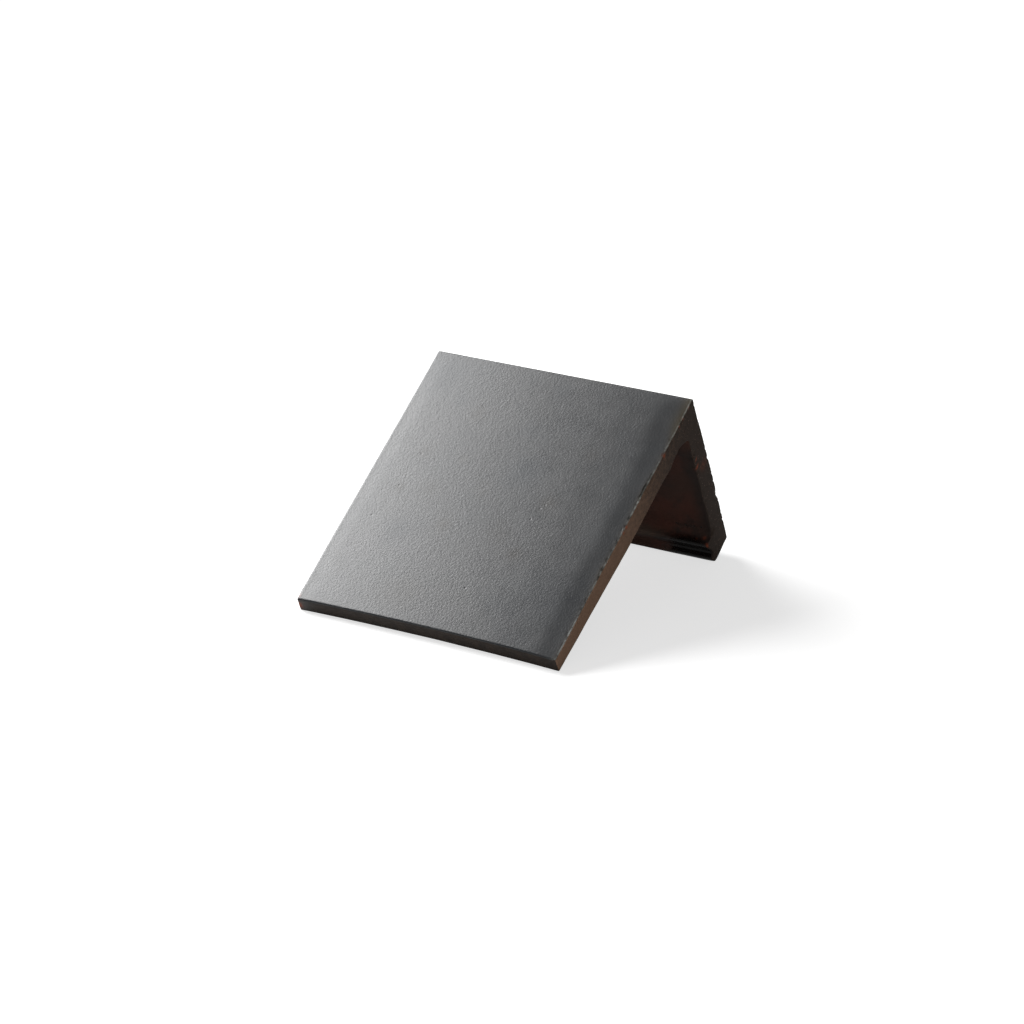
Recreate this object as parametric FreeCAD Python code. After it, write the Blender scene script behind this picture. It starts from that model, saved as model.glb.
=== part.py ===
import FreeCAD, Part
import math
import os

V = FreeCAD.Vector
ALONG_RIDGE = V(0, 1, 0)

# Glazed angle ridge tile with legs of unequal length, fired in one piece. Sizes are in millimetres.
# The section lies in the XZ plane and runs along Y, with the long leg on the -X side and +Z up.
# The tile stands on the inner edges of its two feet, as it would on a level floor.
# The origin is on that floor, below the middle of the tile's bounding box.

# Overall sizes, with each leg measured down its outer face from the ridge
RIDGE_LENGTH = 250.0
LONG_LEG = 270.0
SHORT_LEG = 159.0
APEX_ANGLE = 80.0

# Wall of the long leg, which thins from partway down to its foot
LONG_WALL = 19.5
LONG_FOOT_WALL = 13.0
LONG_TAPER_START = 140.0
LONG_FOOT_SLOPE = 8.8

# Wall of the short leg, whose outer face is slightly crowned
SHORT_WALL = 21.0
SHORT_FOOT_WALL = 26.7
SHORT_FOOT_SLOPE = 11.8
SHORT_CROWN = 2.0
SHORT_CROWN_PLACE = 72.0
SHORT_CROWN_RADIUS = 1800.0

# Throat under the ridge: its corner sits a little down the short leg from where the two inner faces
# would meet, and a shallow shelf runs from there to the long leg, whose wall is thinner at its edge
THROAT_DROP = 4.2
SHELF_REACH = 13.5
SHELF_RELIEF = 1.9
SHELF_RUNOUT = 24.0
THROAT_RADIUS = 3.0
SHELF_RADIUS = 3.0
RUNOUT_RADIUS = 60.0

# Lip along the inside of the short leg's foot, which beds in the mortar. A cove leads into its top,
# and below its nose a hollow ends in a small bead above the foot
LIP_HEIGHT = 21.0
LIP_REACH = 12.2
LIP_SHELF = 1.8
LIP_ROOT_RADIUS = 6.0
LIP_NOSE_RADIUS = 2.5
HOLLOW_PLACE = 16.0
HOLLOW_REACH = 4.8
HOLLOW_RADIUS = 2.5
BEAD_PLACE = 20.0
BEAD_REACH = 9.8
BEAD_RADIUS = 1.6

# Rounding of the section's other corners
RIDGE_RADIUS = 1.2
FOOT_RADIUS = 1.6
RESTING_RADIUS = 1.0
TAPER_RADIUS = 400.0

# Rounded edge all round both end faces, and the arch that firing left along the long foot
END_RADIUS = 0.9
FOOT_ARCH = 2.0

# How near a plane an edge has to lie to count as in it
IN_PLANE = 0.01


def heading(angle):
    """Unit vector in the section plane, at an angle in degrees from +X towards +Z."""
    return V(math.cos(math.radians(angle)), 0, math.sin(math.radians(angle)))


def turned(direction, angle):
    """The direction turned in the section plane by an angle in degrees, from +X towards +Z."""
    return heading(math.degrees(math.atan2(direction.z, direction.x)) + angle)


def crossing(start_a, along_a, start_b, along_b):
    """The point where two lines of the section meet."""
    gap = start_b - start_a
    spread = along_a.x * along_b.z - along_a.z * along_b.x
    return start_a + along_a * ((gap.x * along_b.z - gap.z * along_b.x) / spread)


class Leg:
    """One leg of the section: its outer face runs from the ridge at the origin to the foot."""

    def __init__(self, down, inward, length, foot_slope):
        self.down = down
        self.inward = inward
        self.length = length
        self.foot_slope = math.radians(foot_slope)

    def at(self, distance, depth):
        """The point at a distance down the outer face and a depth inside it."""
        return self.down * distance + self.inward * depth

    def foot(self, depth):
        """The point of the foot face at a depth inside the outer face."""
        return self.at(self.length + depth * math.tan(self.foot_slope), depth)


def make_legs():
    """The long and the short leg, each half the apex angle from straight down."""
    half = APEX_ANGLE / 2
    long_down = heading(-90 - half)
    short_down = heading(-90 + half)
    long_leg = Leg(long_down, turned(long_down, 90), LONG_LEG, LONG_FOOT_SLOPE)
    short_leg = Leg(short_down, turned(short_down, -90), SHORT_LEG, SHORT_FOOT_SLOPE)
    return long_leg, short_leg


def section_corners(long_leg, short_leg):
    """Each corner of the section by name, with its rounding radius, clockwise from the ridge."""
    lip_top = SHORT_LEG - LIP_HEIGHT
    inner_meeting = crossing(
        long_leg.at(0, LONG_WALL), long_leg.down, short_leg.at(0, SHORT_WALL), short_leg.down
    )
    shelf_edge = inner_meeting + long_leg.down * SHELF_REACH
    return {
        "ridge": (V(0, 0, 0), RIDGE_RADIUS),
        "short crown": (short_leg.at(SHORT_CROWN_PLACE, -SHORT_CROWN), SHORT_CROWN_RADIUS),
        "short foot": (short_leg.foot(0), FOOT_RADIUS),
        "short rest": (short_leg.foot(SHORT_FOOT_WALL), RESTING_RADIUS),
        "bead": (short_leg.at(lip_top + BEAD_PLACE, SHORT_WALL + BEAD_REACH), BEAD_RADIUS),
        "hollow": (short_leg.at(lip_top + HOLLOW_PLACE, SHORT_WALL + HOLLOW_REACH), HOLLOW_RADIUS),
        "lip nose": (short_leg.at(lip_top + LIP_SHELF, SHORT_WALL + LIP_REACH), LIP_NOSE_RADIUS),
        "lip root": (short_leg.at(lip_top, SHORT_WALL), LIP_ROOT_RADIUS),
        "throat": (inner_meeting + short_leg.down * THROAT_DROP, THROAT_RADIUS),
        "shelf edge": (shelf_edge - long_leg.inward * SHELF_RELIEF, SHELF_RADIUS),
        "shelf runout": (shelf_edge + long_leg.down * SHELF_RUNOUT, RUNOUT_RADIUS),
        "taper": (long_leg.at(LONG_TAPER_START, LONG_WALL), TAPER_RADIUS),
        "long rest": (long_leg.foot(LONG_FOOT_WALL), RESTING_RADIUS),
        "long foot": (long_leg.foot(0), FOOT_RADIUS),
    }


class Rounding:
    """The arc that rounds one corner of the section, between its two neighbours."""

    def __init__(self, before, corner, after, radius):
        towards_before = (before - corner).normalize()
        towards_after = (after - corner).normalize()
        half = towards_before.getAngle(towards_after) / 2
        middle = (towards_before + towards_after).normalize()
        self.start = corner + towards_before * (radius / math.tan(half))
        self.end = corner + towards_after * (radius / math.tan(half))
        self.centre = corner + middle * (radius / math.sin(half))
        self.crest = self.centre - middle * radius


def section_roundings(corners):
    """The rounding at each corner of the section, by the corner's name."""
    names = list(corners)
    roundings = {}
    for index, name in enumerate(names):
        before = corners[names[index - 1]][0]
        after = corners[names[(index + 1) % len(names)]][0]
        corner, radius = corners[name]
        roundings[name] = Rounding(before, corner, after, radius)
    return roundings


def rounded_wire(roundings):
    """Closed wire of the roundings' arcs, joined by straight runs."""
    arcs = list(roundings.values())
    edges = []
    for index, arc in enumerate(arcs):
        following = arcs[(index + 1) % len(arcs)]
        edges.append(Part.Arc(arc.start, arc.crest, arc.end).toShape())
        edges.append(Part.LineSegment(arc.end, following.start).toShape())
    return Part.Wire(edges)


def make_bar(roundings):
    """The section drawn out along the ridge, centred on its length."""
    face = Part.Face(rounded_wire(roundings))
    face.translate(ALONG_RIDGE * (-RIDGE_LENGTH / 2))
    return face.extrude(ALONG_RIDGE * RIDGE_LENGTH)


def arch_cutter(long_leg):
    """A wide shallow cylinder, square to the long foot's face, that lifts the middle of the foot."""
    radius = (RIDGE_LENGTH / 2) ** 2 / (2 * FOOT_ARCH) + FOOT_ARCH / 2
    across_foot = (long_leg.foot(LONG_FOOT_WALL) - long_leg.foot(0)).normalize()
    out_of_foot = (long_leg.down - across_foot * long_leg.down.dot(across_foot)).normalize()
    centre = long_leg.foot(-LONG_FOOT_WALL) + out_of_foot * (radius - FOOT_ARCH)
    return Part.makeCylinder(radius, 4 * LONG_FOOT_WALL, centre, across_foot)


def glazed_end_edges(solid, long_leg, short_leg):
    """The edges where the glazed faces meet the ends; rounding them runs on all round each end face."""
    edges = []
    for edge in solid.Edges:
        middle = edge.valueAt((edge.FirstParameter + edge.LastParameter) / 2)
        at_end = abs(abs(middle.y) - RIDGE_LENGTH / 2) < IN_PLANE
        flat = edge.BoundBox.YLength < IN_PLANE
        section_point = V(middle.x, 0, middle.z)
        long_depth = section_point.dot(long_leg.inward)
        short_depth = section_point.dot(short_leg.inward)
        outer = min(long_depth, short_depth) < FOOT_RADIUS / 2
        if at_end and flat and outer:
            edges.append(edge)
    return edges


def stood_on_floor(solid, roundings):
    """The tile leaned until both resting edges meet the floor, with its origin below its middle."""
    base = roundings["short rest"].centre - roundings["long rest"].centre
    lean = math.degrees(math.atan2(base.z, base.x))
    leaned = solid.copy()
    leaned.rotate(V(0, 0, 0), ALONG_RIDGE, lean)
    box = leaned.optimalBoundingBox()
    leaned.translate(V(-box.Center.x, -box.Center.y, -box.ZMin))
    return leaned


def make_ridge_tile():
    """The whole tile as one solid."""
    long_leg, short_leg = make_legs()
    roundings = section_roundings(section_corners(long_leg, short_leg))
    bar = make_bar(roundings)
    rolled = bar.makeFillet(END_RADIUS, glazed_end_edges(bar, long_leg, short_leg))
    arched = rolled.cut(arch_cutter(long_leg))
    return stood_on_floor(arched, roundings)


os.makedirs("parts", exist_ok=True)
tile = make_ridge_tile()
tile.exportStep("parts/ridge_tile.step")
print("valid", tile.isValid(), "solids", len(tile.Solids), "volume", round(tile.Volume))
print("box", tile.optimalBoundingBox())
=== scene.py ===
"""The looks of a glazed ridge tile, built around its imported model.

The slab is made as a flat board of stations along the section, along the ridge and through the wall.
Its small marks are refined there, its edges are rounded, and it is then bent to the section.
Sizes are in millimetres in the section and in metres in the finished mesh.
"""

import itertools
import logging
import math
from dataclasses import dataclass, field
from enum import Enum
from functools import cached_property

import bmesh
import bpy
import numpy as np
from mathutils import Matrix, Vector, noise


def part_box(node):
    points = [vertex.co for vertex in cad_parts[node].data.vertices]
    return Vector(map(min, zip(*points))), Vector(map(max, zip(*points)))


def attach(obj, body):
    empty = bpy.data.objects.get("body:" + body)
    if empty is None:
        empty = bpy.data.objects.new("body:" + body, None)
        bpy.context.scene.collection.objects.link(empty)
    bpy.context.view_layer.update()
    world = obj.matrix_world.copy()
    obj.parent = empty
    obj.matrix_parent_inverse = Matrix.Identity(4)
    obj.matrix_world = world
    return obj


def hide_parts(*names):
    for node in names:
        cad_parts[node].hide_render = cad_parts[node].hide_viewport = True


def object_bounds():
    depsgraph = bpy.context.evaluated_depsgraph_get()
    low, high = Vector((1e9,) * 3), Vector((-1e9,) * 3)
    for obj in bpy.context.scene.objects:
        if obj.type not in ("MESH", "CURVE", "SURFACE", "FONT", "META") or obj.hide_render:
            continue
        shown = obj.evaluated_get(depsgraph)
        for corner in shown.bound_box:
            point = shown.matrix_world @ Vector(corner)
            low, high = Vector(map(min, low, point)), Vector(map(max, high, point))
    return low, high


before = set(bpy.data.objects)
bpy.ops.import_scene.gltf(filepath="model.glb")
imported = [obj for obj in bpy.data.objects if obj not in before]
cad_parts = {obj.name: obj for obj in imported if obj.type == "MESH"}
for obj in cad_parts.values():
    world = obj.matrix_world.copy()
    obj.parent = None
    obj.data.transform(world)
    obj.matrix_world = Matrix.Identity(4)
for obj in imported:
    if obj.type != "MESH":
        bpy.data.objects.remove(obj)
CAD_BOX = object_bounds()

LOG = logging.getLogger("ridge_tile")
MM = 0.001
NODE = "ridge_tile"
BODY = "root"

# Two places on the board that are nearer than this are the same
TINY = 1e-4

# Each noise is read this far from the others, times its seed
SEED_SHIFT = np.array([1.37, 2.11, 3.73])

Colour = tuple[float, float, float]
Span = tuple[float, float]
Array = np.ndarray
Socket = bpy.types.NodeSocket


class Side(Enum):
    """The six sides of the slab before it is bent."""

    GLAZED = "glazed"
    INSIDE = "inside"
    NEAR_END = "near end"
    FAR_END = "far end"
    LONG_FOOT = "long foot"
    SHORT_FOOT = "short foot"


class Tone(Enum):
    """The colours that a smudge in the glaze can lean to."""

    COOL = "smudge_cool"
    # Its reading also holds the painted shade line along the ridge
    BROWN = "brown_smudge_and_ridge_shade"


# Small helpers for places and noise


def unit(vector: Array) -> Array:
    """Returns the vector at length 1."""
    return vector / np.linalg.norm(vector)


def heading(degrees: float) -> Array:
    """Returns the unit vector in the section plane at an angle from +X towards +Z."""
    return np.array([math.cos(math.radians(degrees)), math.sin(math.radians(degrees))])


def eased(value: Array, low: float, high: float) -> Array:
    """Rises smoothly from 0 to 1.

    Args:
        value: The numbers to read.
        low: Where the rise starts.
        high: Where the rise ends.

    Returns:
        An array of shares from 0 to 1.
    """
    share = np.clip((value - low) / (high - low), 0.0, 1.0)
    return share * share * (3.0 - 2.0 * share)


def hump(distance: Array, width: float) -> Array:
    """Returns a rounded hump, 1 at no distance and near 0 beyond twice the width."""
    return np.exp(-((distance / width) ** 2))


@dataclass(frozen=True)
class Waves:
    """Smooth waves that the making left in a surface, read as noise."""

    length: float
    height: float
    seed: float
    octaves: int = 1

    def at(self, *places: Array) -> Array:
        """Reads the waves.

        Args:
            places: Up to three coordinates, each as an array.

        Returns:
            The height at each place. Each further octave is half as long and half as high.
        """
        rows = np.zeros((len(places[0]), 3))
        rows[:, : len(places)] = np.stack(places, axis=1) / self.length
        rows += self.seed * SEED_SHIFT
        total = np.zeros(len(rows))
        for octave in range(self.octaves):
            scale = 2.0**octave
            total += np.array([noise.noise(row) for row in (rows * scale).tolist()]) / scale
        return total * self.height


@dataclass(frozen=True)
class Band:
    """A soft band: how strong it is at its middle and how wide it is."""

    middle: float
    width: float
    strength: float = 1.0

    def at(self, distance: Array) -> Array:
        """Returns how strong the band is at distances."""
        return self.strength * hump(distance - self.middle, self.width)


# The section


@dataclass(frozen=True)
class Corner:
    """A corner of the section's outline and the radius that rounds it."""

    name: str
    place: Array
    radius: float = 0.0


class Outline:
    """One side of the section, from the long leg's foot to the short leg's foot."""

    ARC_POINTS = 9

    def __init__(self, corners: list[Corner]) -> None:
        """Rounds the corners and measures the line.

        Args:
            corners: The corners in order. The first and the last stay sharp.
        """
        points = [corners[0].place]
        crests = {corners[0].name: 0}
        for before, corner, after in zip(corners, corners[1:], corners[2:]):
            arc = self.arc(before.place, corner, after.place)
            crests[corner.name] = len(points) + len(arc) // 2
            points.extend(arc)
        crests[corners[-1].name] = len(points)
        points.append(corners[-1].place)
        self.points = np.array(points)
        steps = np.linalg.norm(np.diff(self.points, axis=0), axis=1)
        self.runs = np.concatenate([[0.0], np.cumsum(steps)])
        self.crests = {name: self.runs[index] for name, index in crests.items()}

    def arc(self, before: Array, corner: Corner, after: Array) -> list[Array]:
        """Rounds one corner.

        Args:
            before: The corner before it.
            corner: The corner to round.
            after: The corner after it.

        Returns:
            The points of the arc, from the side of the corner before it.
        """
        to_before = unit(before - corner.place)
        to_after = unit(after - corner.place)
        half = math.acos(float(to_before @ to_after)) / 2.0
        middle = unit(to_before + to_after)
        centre = corner.place + middle * (corner.radius / math.sin(half))
        start = corner.place + to_before * (corner.radius / math.tan(half)) - centre
        end = corner.place + to_after * (corner.radius / math.tan(half)) - centre
        sweep = math.pi - 2.0 * half
        shares = np.linspace(0.0, 1.0, self.ARC_POINTS)
        weights = [(math.sin((1 - t) * sweep), math.sin(t * sweep)) for t in shares]
        return [centre + (start * a + end * b) / math.sin(sweep) for a, b in weights]

    def at(self, run: Array) -> Array:
        """Finds points of the line.

        Args:
            run: Distances along it.

        Returns:
            The points in rows.
        """
        x = np.interp(run, self.runs, self.points[:, 0])
        z = np.interp(run, self.runs, self.points[:, 1])
        return np.stack([x, z], axis=1)


@dataclass(frozen=True)
class Leg:
    """One leg of the section, which runs down its outer face from the ridge."""

    down: Array
    inward: Array
    length: float
    foot_slope: float

    def at(self, distance: float, depth: float) -> Array:
        """Returns the point at a distance down the outer face and a depth inside it."""
        return self.down * distance + self.inward * depth

    def foot(self, depth: float) -> Array:
        """Returns the point of the foot face at a depth inside the outer face."""
        return self.at(self.length + depth * math.tan(math.radians(self.foot_slope)), depth)


@dataclass
class TileSection:
    """The tile's section in millimetres, as in the part's source but with a sharper ridge."""

    ridge_length: float = 250.0
    long_leg: float = 270.0
    short_leg: float = 159.0
    apex_angle: float = 80.0
    long_wall: float = 19.5
    long_foot_wall: float = 13.0
    taper_start: float = 140.0
    long_foot_slope: float = 8.8
    short_wall: float = 21.0
    short_foot_wall: float = 26.7
    short_foot_slope: float = 11.8
    crown: float = 2.0
    crown_place: float = 72.0
    crown_radius: float = 1800.0
    throat_drop: float = 4.2
    shelf_reach: float = 13.5
    shelf_relief: float = 1.9
    shelf_runout: float = 24.0
    throat_radius: float = 3.0
    shelf_radius: float = 3.0
    runout_radius: float = 60.0
    lip_height: float = 21.0
    lip_reach: float = 12.2
    lip_shelf: float = 1.8
    lip_root_radius: float = 6.0
    lip_nose_radius: float = 2.5
    hollow_place: float = 16.0
    hollow_reach: float = 4.8
    hollow_radius: float = 2.5
    bead_place: float = 20.0
    bead_reach: float = 9.8
    bead_radius: float = 1.6
    ridge_radius: float = 0.6
    taper_radius: float = 400.0
    rest_radius: float = 1.0
    nose_share: float = 0.25
    hollow_share: float = 0.6
    bead_share: float = 0.75

    def __post_init__(self) -> None:
        """Draws both sides of the section and stands it on the floor."""
        half = self.apex_angle / 2.0
        self.long = Leg(heading(-90 - half), heading(-half), self.long_leg, self.long_foot_slope)
        self.short = Leg(heading(-90 + half), heading(180 + half), self.short_leg, self.short_foot_slope)
        self.outer = Outline(self.outer_corners())
        self.inner = Outline(self.inner_corners())
        self.ridge_run = self.outer.crests["ridge"]
        self.long_end = -self.ridge_run
        self.short_end = self.outer.runs[-1] - self.ridge_run
        self.pairing = self.inner_pairing()
        self.turn, self.shift = self.standing()

    def outer_corners(self) -> list[Corner]:
        """Returns the corners of the glazed side."""
        return [
            Corner("long foot", self.long.foot(0.0)),
            Corner("ridge", np.zeros(2), self.ridge_radius),
            Corner("crown", self.short.at(self.crown_place, -self.crown), self.crown_radius),
            Corner("short foot", self.short.foot(0.0)),
        ]

    def inner_corners(self) -> list[Corner]:
        """Finds the corners of the inner side, with the throat's shelf and the lip.

        Returns:
            The corners, from the long leg's foot.
        """
        apex = math.radians(self.apex_angle)
        meeting_drop = (self.long_wall + self.short_wall * math.cos(apex)) / math.sin(apex)
        meeting = self.short.at(meeting_drop, self.short_wall)
        shelf = meeting + self.long.down * self.shelf_reach
        runout = shelf + self.long.down * self.shelf_runout

        def on_lip(name: str, down: float, out: float, radius: float) -> Corner:
            """Returns a corner at a distance below the lip's top and a reach out of the inner face."""
            place = self.short.at(self.short_leg - self.lip_height + down, self.short_wall + out)
            return Corner(name, place, radius)

        return [
            Corner("long rest", self.long.foot(self.long_foot_wall)),
            Corner("taper", self.long.at(self.taper_start, self.long_wall), self.taper_radius),
            Corner("runout", runout, self.runout_radius),
            Corner("shelf", shelf - self.long.inward * self.shelf_relief, self.shelf_radius),
            Corner("throat", meeting + self.short.down * self.throat_drop, self.throat_radius),
            on_lip("root", 0.0, 0.0, self.lip_root_radius),
            on_lip("nose", self.lip_shelf, self.lip_reach, self.lip_nose_radius),
            on_lip("hollow", self.hollow_place, self.hollow_reach, self.hollow_radius),
            on_lip("bead", self.bead_place, self.bead_reach, self.bead_radius),
            Corner("short rest", self.short.foot(self.short_foot_wall)),
        ]

    def inner_pairing(self) -> tuple[tuple[float, ...], ...]:
        """Pairs distances on the glazed side, from the ridge, with runs of the inner side.

        Returns:
            The distances and the runs, both rising.
        """
        crest = self.inner.crests
        lip = self.short_leg - self.lip_height
        halfway = lip / 2.0
        throat = self.inner.at([crest["throat"]])[0]
        straight = np.linalg.norm(self.short.at(halfway, self.short_wall) - throat)
        pairs = [
            (self.long_end, crest["long rest"]),
            (-self.taper_start, crest["taper"]),
            (-self.shelf_reach - self.shelf_runout - self.long_wall, crest["runout"]),
            (-self.shelf_reach - self.long_wall, crest["shelf"]),
            (0.0, crest["throat"]),
            (halfway, crest["throat"] + float(straight)),
            (lip, crest["root"]),
            (lip + self.lip_height * self.nose_share, crest["nose"]),
            (lip + self.lip_height * self.hollow_share, crest["hollow"]),
            (lip + self.lip_height * self.bead_share, crest["bead"]),
            (self.short_end, crest["short rest"]),
        ]
        return tuple(zip(*pairs))

    def standing(self) -> tuple[Array, Array]:
        """Finds how the section stands on its two inner foot corners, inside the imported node's box.

        Returns:
            The turn as a 2 by 2 matrix and the shift that follows it.
        """
        short_rest = self.rest_centre(self.short, self.inner.points[-1], self.inner.points[-2])
        long_rest = self.rest_centre(self.long, self.inner.points[0], self.inner.points[1])
        base = short_rest - long_rest
        lean = -math.atan2(base[1], base[0])
        turn = np.array([[math.cos(lean), -math.sin(lean)], [math.sin(lean), math.cos(lean)]])
        low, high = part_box(NODE)
        self.floor = low.z / MM
        resting = (turn @ short_rest)[1] - self.rest_radius
        far_left = turn @ self.long.foot(0.0)
        far_right = turn @ self.short.foot(0.0)
        middle = (far_left[0] + far_right[0]) / 2.0
        shift = np.array([(low.x + high.x) / 2.0 / MM - middle, self.floor - resting])
        LOG.info("lean %.3f degrees, ridge at %s", math.degrees(lean), shift.round(2))
        return turn, shift

    def rest_centre(self, leg: Leg, corner: Array, inner: Array) -> Array:
        """Finds the centre of the arc that rounds a foot's resting corner.

        Args:
            leg: The leg.
            corner: The resting corner.
            inner: The next point of the inner side.

        Returns:
            The centre in the section plane.
        """
        to_inner = unit(inner - corner)
        to_outer = unit(leg.foot(0.0) - corner)
        half = math.acos(float(to_inner @ to_outer)) / 2.0
        return corner + unit(to_inner + to_outer) * (self.rest_radius / math.sin(half))

    def wall(self, place: Array) -> Array:
        """Returns the wall between the paired points of both sides at distances from the ridge."""
        return np.linalg.norm(self.inner_at(place) - self.outer_at(place), axis=1)

    def outer_at(self, place: Array) -> Array:
        """Returns the points of the glazed side at distances from the ridge."""
        return self.outer.at(place + self.ridge_run)

    def inner_at(self, place: Array) -> Array:
        """Returns the inner points that are paired with distances from the ridge."""
        return self.inner.at(np.interp(place, *self.pairing))

    def stood(self, place: Array, depth: Array) -> Array:
        """Finds points of the standing section.

        Args:
            place: Distances from the ridge along the glazed side, below 0 on the long leg.
            depth: Depths inside the glazed side.

        Returns:
            Rows of X and Z in millimetres.
        """
        outer = self.outer_at(place)
        across = self.inner_at(place) - outer
        share = depth / np.linalg.norm(across, axis=1)
        return (outer + across * share[:, None]) @ self.turn.T + self.shift


# Marks of the making and the firing


@dataclass(frozen=True)
class EndRoll:
    """The droop of the glazed face towards an end, where the cut dragged the clay down.

    The slope peaks at the centres, which change with the distance from the ridge. Between there and the
    edge it falls to the edge share, but beside the ridge it stays.
    """

    slope: float
    width: float
    centres: tuple[Span, ...]
    edge_share: float = 0.0
    lead_slope: float = 0.0
    lead: float = 75.0
    lead_starts: float = 0.55
    held: float = 0.5
    span: float = 250.0
    beside_ridge: Span = (30.0, 60.0)
    ridge_hold: Band = Band(0.0, 7.0, 0.95)
    widths_beyond: float = 2.5
    steps: int = 41

    def drop(self, place: Array, from_end: Array) -> Array:
        """Finds how far the face lies under its plane.

        Args:
            place: Distances from the ridge.
            from_end: Distances from the end.

        Returns:
            The drops in millimetres.
        """
        centre = np.interp(-place, *np.array(self.centres).T)
        reach = max(self.lead, float(centre.max()) + self.widths_beyond * self.width)
        span = np.maximum(reach - from_end, 0.0)
        runs = from_end + np.linspace(0.0, 1.0, self.steps)[:, None] * span
        bell = hump(runs - centre, self.width)
        share = 1.0 - (1.0 - self.edge_share) * eased(-place, *self.beside_ridge)
        bell = np.where(runs < centre, share + (1.0 - share) * bell, bell)
        lead = 1.0 - eased(runs, self.lead * self.lead_starts, self.lead)
        drop = (self.slope * bell + self.lead_slope * lead).mean(axis=0) * span
        swell = self.held * self.slope * (centre + self.width) * (1.0 - from_end / self.span)
        return (drop - swell) * (1.0 - self.ridge_hold.at(place))


@dataclass(frozen=True)
class Chip:
    """A flake that broke out of the glazed edge of the near end."""

    place: float
    length: float
    depth: float
    reach: float


@dataclass(frozen=True)
class Pit:
    """A small round pit in one side of the slab."""

    side: Side
    place: float
    along: float
    radius: float
    depth: float


@dataclass(frozen=True)
class Smudge:
    """A soft patch where the glaze is thinner or darker."""

    tone: Tone
    place: float
    along: float
    width: float
    strength: float


@dataclass(frozen=True)
class Fleck:
    """A small spot of bare, bright clay."""

    place: float
    along: float
    depth: float
    radius: float
    strength: float = 1.0


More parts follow.
